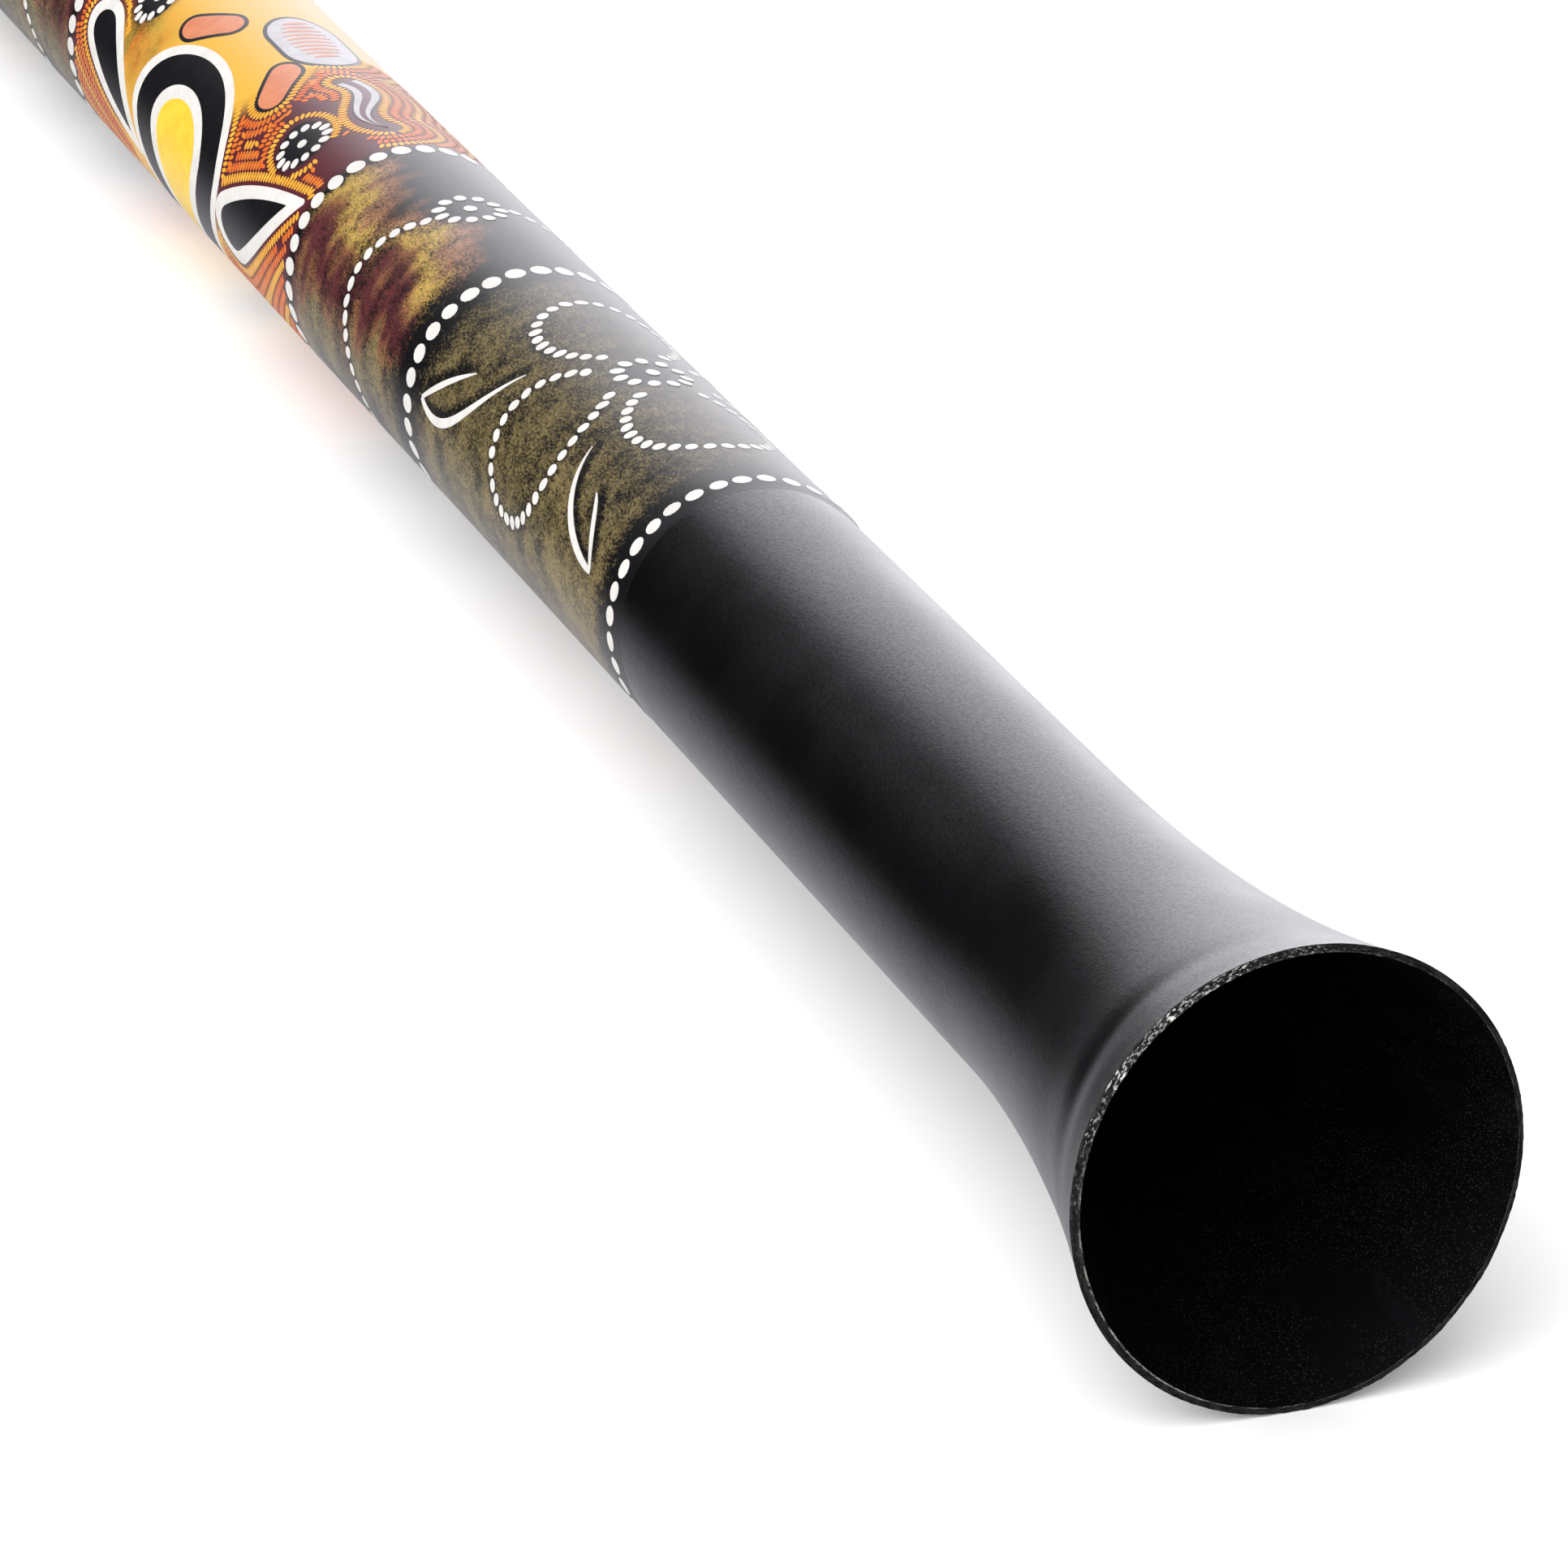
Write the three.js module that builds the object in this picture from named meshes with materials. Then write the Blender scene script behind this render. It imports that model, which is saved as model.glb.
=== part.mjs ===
// A didgeridoo made from one length of plastic drainpipe: the bell is flared out of the pipe
// itself, a printed film is shrunk round the middle, and a moulded mouthpiece plugs the far end.
// It lies along Y with its bell towards -Y, its lowest point on z = 0, in millimetres.
// Stations along the instrument are distances from the bell rim.

import * as THREE from 'three';

// Overall
const LENGTH = 1270;
const SEGMENTS = 48;

// Pipe
const PIPE_RADIUS = 25;
const PIPE_WALL = 2.4;

// Bell: hand formed, so its rim is a little taller than wide
const RIM_HALF_HEIGHT = 39.1;
const RIM_HALF_WIDTH = 37.4;
const RIM_WALL = 2.0;
const FLARE_LENGTH = 110;
const FLARE_POWER = 2.3;
const FLARE_STEPS = 12;

// Printed film
const FILM_START = 244;
const FILM_END = 1134;
const FILM_GAP = 0.05;
const FILM_THICKNESS = 0.15;

// Mouthpiece
const COLLAR_RADIUS = 27;
const COLLAR_LENGTH = 15;
const COLLAR_EDGE_RADIUS = 2;
const PLUG_LENGTH = 32;
const PLUG_CLEARANCE = 0.3;
const MOUTH_BORE_RADIUS = 15.5;
const LIP_INNER_RADIUS = 4;
const LIP_OUTER_RADIUS = 5;
const LIP_STEPS = 5;

const RIM_MEAN_RADIUS = (RIM_HALF_HEIGHT + RIM_HALF_WIDTH) / 2;
const PIPE_END = LENGTH - COLLAR_LENGTH - PLUG_CLEARANCE;

const blackPaint = { color: 0x17161a, roughness: 0.42, metalness: 0 };
const printedFilm = { color: 0x7a5a2a, roughness: 0.3, metalness: 0 };
const blackRubber = { color: 0x1b1b1c, roughness: 0.6, metalness: 0 };

// 1 at the rim, 0 where the flare runs out into the straight pipe.
function flareAt(station) {
  const left = Math.max(0, 1 - station / FLARE_LENGTH);
  return left ** FLARE_POWER;
}

function outerRadiusAt(station) {
  return PIPE_RADIUS + (RIM_MEAN_RADIUS - PIPE_RADIUS) * flareAt(station);
}

// The wall thins as it is stretched out to the rim.
function innerRadiusAt(station) {
  return outerRadiusAt(station) - PIPE_WALL + (PIPE_WALL - RIM_WALL) * flareAt(station);
}

// Stations crowd towards the rim, where the flare curves most.
function flareStations() {
  const stations = [];
  for (let i = 0; i <= FLARE_STEPS; i += 1) {
    stations.push(FLARE_LENGTH * (i / FLARE_STEPS) ** 1.5);
  }
  return stations;
}

// Squeezes a round lathe into the oval of the bell, by as much as the flare has opened.
function makeOval(geometry) {
  const spread = (RIM_HALF_HEIGHT - RIM_HALF_WIDTH) / (2 * RIM_MEAN_RADIUS);
  const position = geometry.getAttribute('position');
  for (let i = 0; i < position.count; i += 1) {
    const squeeze = spread * flareAt(position.getY(i));
    position.setX(i, position.getX(i) * (1 - squeeze));
    position.setZ(i, position.getZ(i) * (1 + squeeze));
  }
  return geometry;
}

// A closed loop of (radius, station) points turned round the bore's axis.
function turned(points) {
  return new THREE.LatheGeometry([...points, points[0].clone()], SEGMENTS);
}

// Points of a quarter round between two (radius, station) ends, about the corner they share.
function quarterRound(centreRadius, centreStation, size, fromAngle, toAngle) {
  const points = [];
  for (let i = 0; i <= LIP_STEPS; i += 1) {
    const angle = fromAngle + (toAngle - fromAngle) * (i / LIP_STEPS);
    const radius = centreRadius + size * Math.cos(angle);
    points.push(new THREE.Vector2(radius, centreStation + size * Math.sin(angle)));
  }
  return points;
}

function pipeGeometry() {
  const stations = [...flareStations(), PIPE_END];
  const outside = stations.map((s) => new THREE.Vector2(outerRadiusAt(s), s));
  const inside = stations.map((s) => new THREE.Vector2(innerRadiusAt(s), s)).reverse();
  return makeOval(turned([...outside, ...inside]));
}

function filmGeometry() {
  const inner = PIPE_RADIUS + FILM_GAP;
  const outer = inner + FILM_THICKNESS;
  return turned([
    new THREE.Vector2(inner, FILM_START),
    new THREE.Vector2(outer, FILM_START),
    new THREE.Vector2(outer, FILM_END),
    new THREE.Vector2(inner, FILM_END),
  ]);
}

// A plug inside the pipe, a collar over its end, and a rounded lip round a narrower bore.
function mouthpieceGeometry() {
  const plugRadius = PIPE_RADIUS - PIPE_WALL - PLUG_CLEARANCE;
  const plugStart = PIPE_END - PLUG_LENGTH;
  const collarStart = LENGTH - COLLAR_LENGTH;
  const quarter = Math.PI / 2;
  const edgeRadius = COLLAR_RADIUS - COLLAR_EDGE_RADIUS;
  const edgeStation = collarStart + COLLAR_EDGE_RADIUS;
  const lipRadius = COLLAR_RADIUS - LIP_OUTER_RADIUS;
  const throatRadius = MOUTH_BORE_RADIUS + LIP_INNER_RADIUS;
  return turned([
    new THREE.Vector2(MOUTH_BORE_RADIUS, plugStart),
    new THREE.Vector2(plugRadius, plugStart),
    new THREE.Vector2(plugRadius, collarStart),
    ...quarterRound(edgeRadius, edgeStation, COLLAR_EDGE_RADIUS, -quarter, 0),
    ...quarterRound(lipRadius, LENGTH - LIP_OUTER_RADIUS, LIP_OUTER_RADIUS, 0, quarter),
    ...quarterRound(throatRadius, LENGTH - LIP_INNER_RADIUS, LIP_INNER_RADIUS, quarter, 2 * quarter),
  ]);
}

function named(name, geometry, finish) {
  const mesh = new THREE.Mesh(geometry, new THREE.MeshStandardMaterial(finish));
  mesh.name = name;
  return mesh;
}

const group = new THREE.Group();
group.add(
  named('pipe_with_flared_bell', pipeGeometry(), blackPaint),
  named('printed_film', filmGeometry(), printedFilm),
  named('mouthpiece', mouthpieceGeometry(), blackRubber),
);
group.position.set(0, -LENGTH / 2, RIM_HALF_HEIGHT);

export default group;
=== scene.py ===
"""A pipe didgeridoo: a black pipe flared by hand into a bell, a film printed with rings of dots,
dotted loops and drops, and a plug-in mouthpiece.

Everything is in metres. Points on the instrument are given by a station, the distance from the
bell rim along the bore, and an angle round the bore: 0 on top and growing towards +X. The print
is drawn on the unrolled film in millimetres: along, from the bell rim, and arc, the length round
the film from its top line.
"""

import random
from math import atan2, cos, hypot, pi, radians, sin, sqrt

import bpy
import numpy as np
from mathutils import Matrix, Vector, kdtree


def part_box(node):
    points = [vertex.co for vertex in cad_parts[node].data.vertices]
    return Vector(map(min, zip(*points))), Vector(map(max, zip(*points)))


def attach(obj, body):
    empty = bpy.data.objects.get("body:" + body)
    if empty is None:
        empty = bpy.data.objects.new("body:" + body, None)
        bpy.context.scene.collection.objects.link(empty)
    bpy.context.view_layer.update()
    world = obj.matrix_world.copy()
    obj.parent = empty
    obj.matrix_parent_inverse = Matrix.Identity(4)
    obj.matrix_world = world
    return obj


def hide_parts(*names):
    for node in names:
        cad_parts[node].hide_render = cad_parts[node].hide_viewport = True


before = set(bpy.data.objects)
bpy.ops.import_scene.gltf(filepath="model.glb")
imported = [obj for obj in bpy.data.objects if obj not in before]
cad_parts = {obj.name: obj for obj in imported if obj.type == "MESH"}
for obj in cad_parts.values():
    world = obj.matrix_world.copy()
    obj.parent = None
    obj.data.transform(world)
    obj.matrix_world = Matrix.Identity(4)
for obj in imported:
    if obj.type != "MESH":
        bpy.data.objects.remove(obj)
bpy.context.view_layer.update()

MM = 0.001
TURN = 2 * pi

# Places and sizes of the parts in model.glb
pipe_low, pipe_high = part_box("pipe_with_flared_bell")
film_low, film_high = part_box("printed_film")
mouth_low, mouth_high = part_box("mouthpiece")
RIM_Y = pipe_low[1]
AXIS_Z = (pipe_low[2] + pipe_high[2]) / 2
RIM_HALF_HEIGHT = (pipe_high[2] - pipe_low[2]) / 2
RIM_HALF_WIDTH = (pipe_high[0] - pipe_low[0]) / 2
PIPE_END = pipe_high[1] - RIM_Y
FILM_START = film_low[1] - RIM_Y
FILM_END = film_high[1] - RIM_Y
FILM_RADIUS = (film_high[2] - film_low[2]) / 2
MOUTH_RADIUS = (mouth_high[2] - mouth_low[2]) / 2
MOUTH_START = mouth_low[1] - RIM_Y
MOUTH_END = mouth_high[1] - RIM_Y

# Pipe
PIPE_RADIUS = 25 * MM
PIPE_WALL = 2.4 * MM
RIM_WALL = 1.25 * MM
RIM_WALL_SPREAD = 0.4 * MM
RIM_THICK_ANGLE = radians(-70)
# Where round the rim the painted glints are brightest, and how far round they and the burr reach
GLINT_ANGLE = radians(-38)
GLINT_AND_BURR_REACH = 0.62
BURR_ANGLE = radians(-128)
PIPE_SIDES = 360

# Film
FILM_THICKNESS = 0.15 * MM
FILM_SIDES = 144
FILM_STEP = 1.45 * MM
FILM_LIFT = 0.30 * MM
FILM_RISE = 2.5 * MM
FILM_SETTLED = 20 * MM
FILM_TAPER = 6 * MM
FILM_TAPER_STEP = 0.5 * MM
FILM_SINK = 0.18 * MM
LIFT_ANGLE = radians(52)
LIFT_REACH = 0.42

# Print. A layer is the thickness of one ink, and every printed shape's underside is sunk into
# the film, by a part of a layer. The rest is in the print's own millimetres.
LAYER = 0.035 * MM
SUNK = -0.5
PRINT_CELL = 1.5
STRETCH = 1.55
FILM_R = FILM_RADIUS / MM
HALF_ARC = pi * FILM_R
FULL_ARC = 2 * HALF_ARC


# ---- mesh helpers


def spot(station, angle, radius):
    """The point, or points, at a station, angle and radius, as an array of x, y, z."""
    station, angle, radius = np.broadcast_arrays(station, angle, radius)
    x = radius * np.sin(angle)
    z = AXIS_Z + radius * np.cos(angle)
    return np.stack([x, RIM_Y + station, z], axis=-1)


def mesh_object(name, points, faces, materials, smooth=True):
    mesh = bpy.data.meshes.new(name)
    mesh.from_pydata([tuple(p) for p in points], [], [tuple(f) for f in faces])
    for material in materials:
        mesh.materials.append(material)
    mesh.polygons.foreach_set("use_smooth", [smooth] * len(mesh.polygons))
    mesh.validate()
    mesh.update()
    thing = bpy.data.objects.new(name, mesh)
    bpy.context.scene.collection.objects.link(thing)
    return thing


def add_values(thing, name, kind, values):
    """Gives every point of a mesh its value or colour, under a name that materials look up."""
    layer = thing.data.attributes.new(name, kind, "POINT")
    field = "color" if kind == "FLOAT_COLOR" else "value"
    layer.data.foreach_set(field, np.asarray(values, dtype=np.float32).ravel())


def wrapped_quads(rows, columns):
    """Quads of a grid whose rows and columns both wrap round."""
    grid = np.arange(rows * columns).reshape(rows, columns)
    beside = np.roll(grid, -1, axis=1)
    corners = [grid, beside, np.roll(beside, -1, axis=0), np.roll(grid, -1, axis=0)]
    return np.stack(corners, axis=-1).reshape(-1, 4)


def ramp(values, low, high):
    """0 below low, 1 above high, and a smooth step between them."""
    t = np.clip((values - low) / (high - low), 0, 1)
    return t * t * (3 - 2 * t)


def bump(values, centre, width):
    """1 at the centre, and falling away smoothly on both sides."""
    return np.exp(-(((values - centre) / width) ** 2))


def bump_round(angles, centre, width):
    """A bump round the bore: 1 at the centre's angle, and falling away on both sides."""
    return bump((angles - centre + pi) % TURN - pi, 0, width)


def turned(x, y, angle):
    """A step of x and y, turned by an angle."""
    return x * cos(angle) - y * sin(angle), x * sin(angle) + y * cos(angle)


def wave_noise(angle, seed, lowest, highest, count):
    """Smooth wavy noise round the bore, about -1 to 1, from a few waves of random phase."""
    dice = random.Random(seed)
    total = 0
    for _ in range(count):
        turns = dice.randint(lowest, highest)
        total = total + np.sin(turns * angle + dice.uniform(0, TURN))
    return total / sqrt(count)


def clouds(along, arc, size_along, size_arc, seed):
    """Soft random clouds on the unrolled film, 0 to 1, that meet where the film's sides meet."""
    columns = round(FULL_ARC / size_arc)
    rows = int(FILM_END / MM / size_along) + 3
    heights = np.random.default_rng(seed).random((rows, columns))
    y = along / size_along
    x = (arc + HALF_ARC) / FULL_ARC * columns
    i, j = y.astype(int), x.astype(int)
    v, u = y - i, x - j
    v, u = v * v * (3 - 2 * v), u * u * (3 - 2 * u)
    low = heights[i, j % columns] * (1 - u) + heights[i, (j + 1) % columns] * u
    high = heights[i + 1, j % columns] * (1 - u) + heights[i + 1, (j + 1) % columns] * u
    return low * (1 - v) + high * v


# ---- node helpers


class Nodes:
    """A few short calls that add nodes to a material or a world and join them."""

    def __init__(self, tree):
        self.tree = tree
        self.shader = tree.nodes.get("Principled BSDF")

    def feed(self, value, socket):
        """Gives a socket a number, a vector, a colour or another node's output."""
        if isinstance(value, (int, float)):
            socket.default_value = value
        elif isinstance(value, tuple):
            alpha = (1.0,) * (len(socket.default_value) - len(value))
            socket.default_value = value + alpha
        else:
            self.tree.links.new(value, socket)

    def set(self, name, value):
        """Feeds the socket of the surface's shader that has this name."""
        self.feed(value, self.shader.inputs[name])

    def node(self, kind, output, inputs=None, **settings):
        """Adds a node, feeds its inputs and returns one of its outputs."""
        node = self.tree.nodes.new("ShaderNode" + kind)
        for key, value in settings.items():
            setattr(node, key, value)
        for socket, value in (inputs or {}).items():
            self.feed(value, node.inputs[socket])
        return node.outputs[output]

    def place(self):
        return self.node("TexCoord", "Object")

    def stretched(self, scale):
        """The object's coordinates, scaled apart along x, y and z."""
        return self.node("Mapping", "Vector", {"Vector": self.place(), "Scale": scale})

    def along_rim(self, squeeze):
        """Places on the rim's face, drawn together round the rim and not across its wall."""
        place = self.place()
        joined = {"Y": self.attribute("across", "Fac")}
        for axis in "XZ":
            joined[axis] = self.times(self.node("SeparateXYZ", axis, {0: place}), squeeze)
        return self.node("CombineXYZ", "Vector", joined)

    def noise(self, vector, scale, detail=2.0, roughness=0.5):
        inputs = {"Vector": vector, "Scale": scale, "Detail": detail, "Roughness": roughness}
        return self.node("TexNoise", "Fac", inputs)

    def cells(self, vector, scale):
        """The distance to the nearest of many scattered points."""
        return self.node("TexVoronoi", "Distance", {"Vector": vector, "Scale": scale})

    def span(self, value, low, high, out_low=0.0, out_high=1.0):
        """Maps low..high to out_low..out_high, smoothly, and stops at both ends."""
        ends = {"From Min": low, "From Max": high, "To Min": out_low, "To Max": out_high}
        inputs = {"Value": value} | ends
        return self.node("MapRange", "Result", inputs, interpolation_type="SMOOTHSTEP")

    def times(self, a, b):
        return self.node("Math", "Value", {0: a, 1: b}, operation="MULTIPLY")

    def plus(self, a, b):
        return self.node("Math", "Value", {0: a, 1: b}, operation="ADD")

    def mix(self, factor, a, b):
        return self.node("Mix", 2, {0: factor, 6: a, 7: b}, data_type="RGBA")

    def attribute(self, name, output):
        return self.node("Attribute", output, attribute_name=name)

    def relief(self, height, strength, distance, under=None):
        """A bump of the surface, over the relief under it if there is one."""
        inputs = {"Height": height, "Strength": strength, "Distance": distance}
        if under is not None:
            inputs["Normal"] = under
        return self.node("Bump", "Normal", inputs)


IOR = 1.5
FILM_ROUGHNESS = 0.27


def new_material(name):
    """A material with its nodes, and with the refraction of paint and plastic."""
    material = bpy.data.materials.new(name)
    material.use_nodes = True
    n = Nodes(material.node_tree)
    n.set("IOR", IOR)
    return material, n


# ---- materials


def black_paint():
    """Satin black paint with a fine dry-spray grain, drag marks and pinholes."""
    material, n = new_material("black_paint")
    place = n.place()
    grain = n.noise(place, 1900, 2.0, 0.65)
    drags = n.noise(n.stretched((1.5, 0.5, 1.5)), 420, 4.0, 0.6)
    patches = n.noise(place, 45, 3.0, 0.5)
    holes = n.span(n.cells(place, 520), 0.06, 0.16, 1.0, 0.0)
    holes = n.times(holes, n.span(n.noise(place, 130, 1.0), 0.5, 0.62))
    tone = n.mix(patches, (0.0012, 0.0012, 0.0014), (0.0022, 0.0021, 0.0025))
    n.set("Base Color", tone)
    n.set("Roughness", n.span(patches, 0.3, 0.7, 0.18, 0.235))
    shine = n.plus(n.span(grain, 0.3, 0.7, 0.28, 0.7), n.times(holes, -0.2))
    n.set("Specular IOR Level", shine)
    fine = n.relief(grain, 0.12, 0.0003)
    n.set("Normal", n.relief(drags, 0.06, 0.0005, fine))
    return material


def bore_paint():
    """The inside of the pipe: dull, very dark, with wipes and specks left in the paint."""
    material, n = new_material("bore_paint")
    place = n.place()
    wipes = n.noise(n.stretched((1.0, 0.35, 1.0)), 110, 5.0, 0.65)
    specks = n.span(n.cells(place, 1900), 0.12, 0.3, 1.0, 0.0)
    specks = n.times(specks, n.span(n.noise(place, 60, 2.0), 0.34, 0.52))
    tone = n.mix(n.span(wipes, 0.48, 0.66), (0.0006, 0.0006, 0.0008), (0.0018, 0.0018, 0.0024))
    n.set("Base Color", n.mix(specks, tone, (0.022, 0.0215, 0.021)))
    n.set("Normal", n.relief(wipes, 0.4, 0.0008))
    n.set("Specular IOR Level", 0.08)
    n.set("Roughness", 0.55)
    return material


def sawn_plastic():
    """The saw-cut rim: dark dragged plastic, torn in places into dark pits, with painted glints
    (near-white patches mixed into its colour, mostly on one side of the rim) and a pale burr at
    the bore's edge."""
    material, n = new_material("sawn_plastic")
    scar = n.attribute("scar", "Fac")
    burr = n.attribute("burr", "Fac")
    drag = n.noise(n.along_rim(0.3), 1000, 3.0, 0.6)
    tear = n.noise(n.along_rim(0.5), 2400, 4.0, 0.7)
    # Painted glints: near-white patches mixed into the base colour, weighted to one side of the
    # rim.
    bright = n.span(n.plus(tear, n.times(scar, 0.06)), 0.57, 0.62)
    bright = n.times(bright, scar)
    pits = n.span(tear, 0.36, 0.46, 1.0, 0.0)
    tone = n.mix(n.span(drag, 0.35, 0.65), (0.002, 0.002, 0.002), (0.018, 0.0175, 0.017))
    tone = n.mix(n.times(burr, n.span(tear, 0.38, 0.52)), tone, (0.34, 0.32, 0.28))
    tone = n.mix(bright, tone, (0.70, 0.685, 0.64))
    tone = n.mix(n.times(pits, 0.85), tone, (0.002, 0.002, 0.002))
    n.set("Base Color", tone)
    n.set("Specular IOR Level", n.span(bright, 0.0, 1.0, 0.12, 0.6))
    n.set("Roughness", n.span(tear, 0.3, 0.7, 0.25, 0.55))
    rough = n.relief(drag, 0.5, 0.0004)
    n.set("Normal", n.relief(tear, 0.8, 0.0006, rough))
    return material


def finish_film(n):
    """The sheen and the faint orange peel of the shrunk film, the same under every ink."""
    peel = n.noise(n.place(), 700, 2.0, 0.5)
    n.set("Normal", n.relief(peel, 0.06, 0.0003))
    n.set("Roughness", FILM_ROUGHNESS)


def printed_ground():
    """The film's sponged ground: fine specks of paint over black, fewer where the cover is low."""
    material, n = new_material("printed_ground")
    paint = n.attribute("paint", "Color")
    cover = n.attribute("cover", "Fac")
    sponge = n.attribute("sponge", "Fac")
    place = n.stretched((1.0, 0.5, 1.0))
    wisps = n.noise(place, 620, 2.0, 0.5)
    speckle = n.noise(place, 2300, 2.0, 0.6)
    texture = n.plus(n.times(wisps, 0.3), n.times(speckle, 0.7))
    texture = n.plus(texture, -0.5)
    spread = n.times(texture, n.times(sponge, 2.0))
    laid = n.span(n.plus(cover, spread), 0.12, 1.0)
    n.set("Base Color", n.mix(laid, (0.0025, 0.0025, 0.003), paint))
    finish_film(n)
    return material


def ink(name, colour, shade):
    """One opaque ink with the slight tone change of a print from a painted original."""
    material, n = new_material(name)
    tone = n.span(n.noise(n.place(), 260, 3.0, 0.6), 0.35, 0.7)
    n.set("Base Color", n.mix(tone, shade, colour))
    finish_film(n)
    return material


def mouthpiece_rubber():
    """Soft moulded rubber: even, dull, with a fine skin and a slight bloom."""
    material, n = new_material("mouthpiece_rubber")
    place = n.place()
    bloom = n.noise(place, 90, 4.0, 0.6)
    skin = n.noise(place, 2200, 2.0, 0.5)
    n.set("Base Color", n.mix(bloom, (0.010, 0.010, 0.0105), (0.02, 0.02, 0.021)))
    n.set("Roughness", n.span(bloom, 0.3, 0.7, 0.46, 0.6))
    n.set("Normal", n.relief(skin, 0.12, 0.0003))
    return material


# ---- pipe and bell

FLARE_LEAN = radians(50)
FLARE_REACH = 105 * MM
FLARE_REACH_SPREAD = 20 * MM
FLARE_POWER = 2.11
FLARE_POWER_SPREAD = 0.29
RIM_CORNERS = 3
CORNER_DEPTH = 0.13 * MM
CORNER_TURN = 0.4

# Marks that the hot forming left: station, angle, reach along, reach round and depth
CREASE = (12.5 * MM, radians(-55), 3.9 * MM, 0.6, 0.40 * MM)
HOLLOW = (24 * MM, -1.5, 9 * MM, 0.5, 0.22 * MM)
RIPPLE_STATION = 22 * MM
RIPPLE_REACH = 26 * MM
RIPPLE_DEPTH = 0.10 * MM

# The tear of the sawn rim, in millimetres, and how far it shows along the pipe
TEAR_MEAN = 0.16
TEAR_FINE = 0.07
TEAR_COARSE = 0.06
TEAR_DEEPEST = 0.5
TEAR_REACH = 4 * MM
INNER_TEAR = 0.6
FACE_WANDER = 0.04 * MM

# Rows across the sawn face: the part of the wall, and how deep the saw tore there. The face
# stands proud in a thin burr at the bore's edge.
RIM_FACE = (
    (0.02, 0.0), (0.10, 0.25), (0.24, 1.3), (0.42, 0.8), (0.60, 1.4), (0.78, 0.7), (0.93, 0.9),
)
BURR_ROWS = 2

# Rows along the pipe, in millimetres: where the flare's rows and the straight rows start
FLARE_ROWS = 14
STRAIGHT_ROWS = 130


def rim_radius(angle):
    """The rim is an oval with three slight corners, as hand forming left it."""
    mean = (RIM_HALF_HEIGHT + RIM_HALF_WIDTH) / 2
    oval = (RIM_HALF_HEIGHT - RIM_HALF_WIDTH) / 2
    corners = CORNER_DEPTH * (1 + np.cos(RIM_CORNERS * angle + CORNER_TURN))
    return mean + oval * np.cos(2 * angle) - corners


def flare_radius(station, angle):
    """The outside radius: the flare starts earlier on one side than on the other."""
    lean = np.cos(angle - FLARE_LEAN)
    reach = FLARE_REACH + FLARE_REACH_SPREAD * lean
    power = FLARE_POWER + FLARE_POWER_SPREAD * lean
    left = np.clip(1 - station / reach, 0, 1)
    return PIPE_RADIUS + (rim_radius(angle) - PIPE_RADIUS) * left**power


def dent(station, angle, at, side, long, wide, depth):
    """How deep a shallow mark is at a station and an angle."""
    return depth * bump(station, at, long) * bump_round(angle, side, wide)


def hand_marks(station, angle):
    """The shallow marks near the rim, as a change of radius."""
    ripple = RIPPLE_DEPTH * wave_noise(angle, 7, 2, 7, 4)
    ripple = ripple * bump(station, RIPPLE_STATION, RIPPLE_REACH)
    return -dent(station, angle, *CREASE) - dent(station, angle, *HOLLOW) - ripple


def rim_tear(angle, seed):
    """How far the saw left the rim short of its highest line, always towards the pipe."""
    fine = wave_noise(angle, seed, 60, 140, 6)
    coarse = wave_noise(angle, seed + 1, 9, 30, 5)
    return MM * np.clip(TEAR_MEAN + TEAR_FINE * fine + TEAR_COARSE * coarse, 0.0, TEAR_DEEPEST)


def pipe_stations():
    """The stations of the pipe's rows, which are closest together at the rim."""
    near = np.arange(0.0, FLARE_ROWS, 0.6)
    flare = np.arange(FLARE_ROWS, STRAIGHT_ROWS, 1.8)
    straight = np.linspace(STRAIGHT_ROWS, PIPE_END / MM - 0.5, 39)
    return np.concatenate([near, flare, straight, [PIPE_END / MM]]) * MM


def wall_thickness(stations, angles):
    """The wall: even on the pipe, and thinner at the rim, most of all on one side."""
    thinning = np.clip(1 - stations / FLARE_REACH, 0, 1) ** 2
    rim_wall = RIM_WALL + RIM_WALL_SPREAD * np.cos(angles - RIM_THICK_ANGLE)
    return PIPE_WALL + (rim_wall - PIPE_WALL) * thinning


def sawn_face(angles, inside, wall):
    """Rows of points across the sawn face, from the bore's edge outwards."""
    rows = []
    for i, (part, depth) in enumerate(RIM_FACE):
        wander = FACE_WANDER * wave_noise(angles, 40 + i, 60, 170, 5)
        rows.append(spot(depth * rim_tear(angles, 20 + i), angles, inside + wall * part + wander))
    return rows


def mark_surfaces(pipe, angles, wall, count, rows):
    """Gives the outside, the bore and the sawn face their materials, and the face its values.

    The pipe's rows of points run along the outside, count of them, then back along the bore,
    and across the sawn face to close the loop.
    """
    face = 2 * count - 1
    finish = np.zeros(rows, dtype=int)
    finish[count:] = 1
    finish[face:] = 2
    pipe.data.polygons.foreach_set("material_index", np.repeat(finish, PIPE_SIDES))

    scar, across, burr = np.zeros((3, rows, PIPE_SIDES))
    broken = ramp(wave_noise(angles, 77, 5, 40, 7), -0.3, 0.6)
    # The weight of the painted glints on the sawn face, strongest on one side of the rim.
    scar[face:] = bump_round(angles, GLINT_ANGLE, GLINT_AND_BURR_REACH) * (0.6 + 0.4 * broken)
    for i, (part, _) in enumerate(RIM_FACE, start=1):
        across[face + i] = wall * part
    across[0] = wall
    torn = 0.12 + 0.88 * bump_round(angles, BURR_ANGLE, GLINT_AND_BURR_REACH)
    torn = torn * ramp(wave_noise(angles, 57, 8, 60, 9), -0.9, 0.3)
    burr[face:face + 1 + BURR_ROWS] = torn
    for name, values in (("scar", scar), ("across", across), ("burr", burr)):
        add_values(pipe, name, "FLOAT", values)


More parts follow.
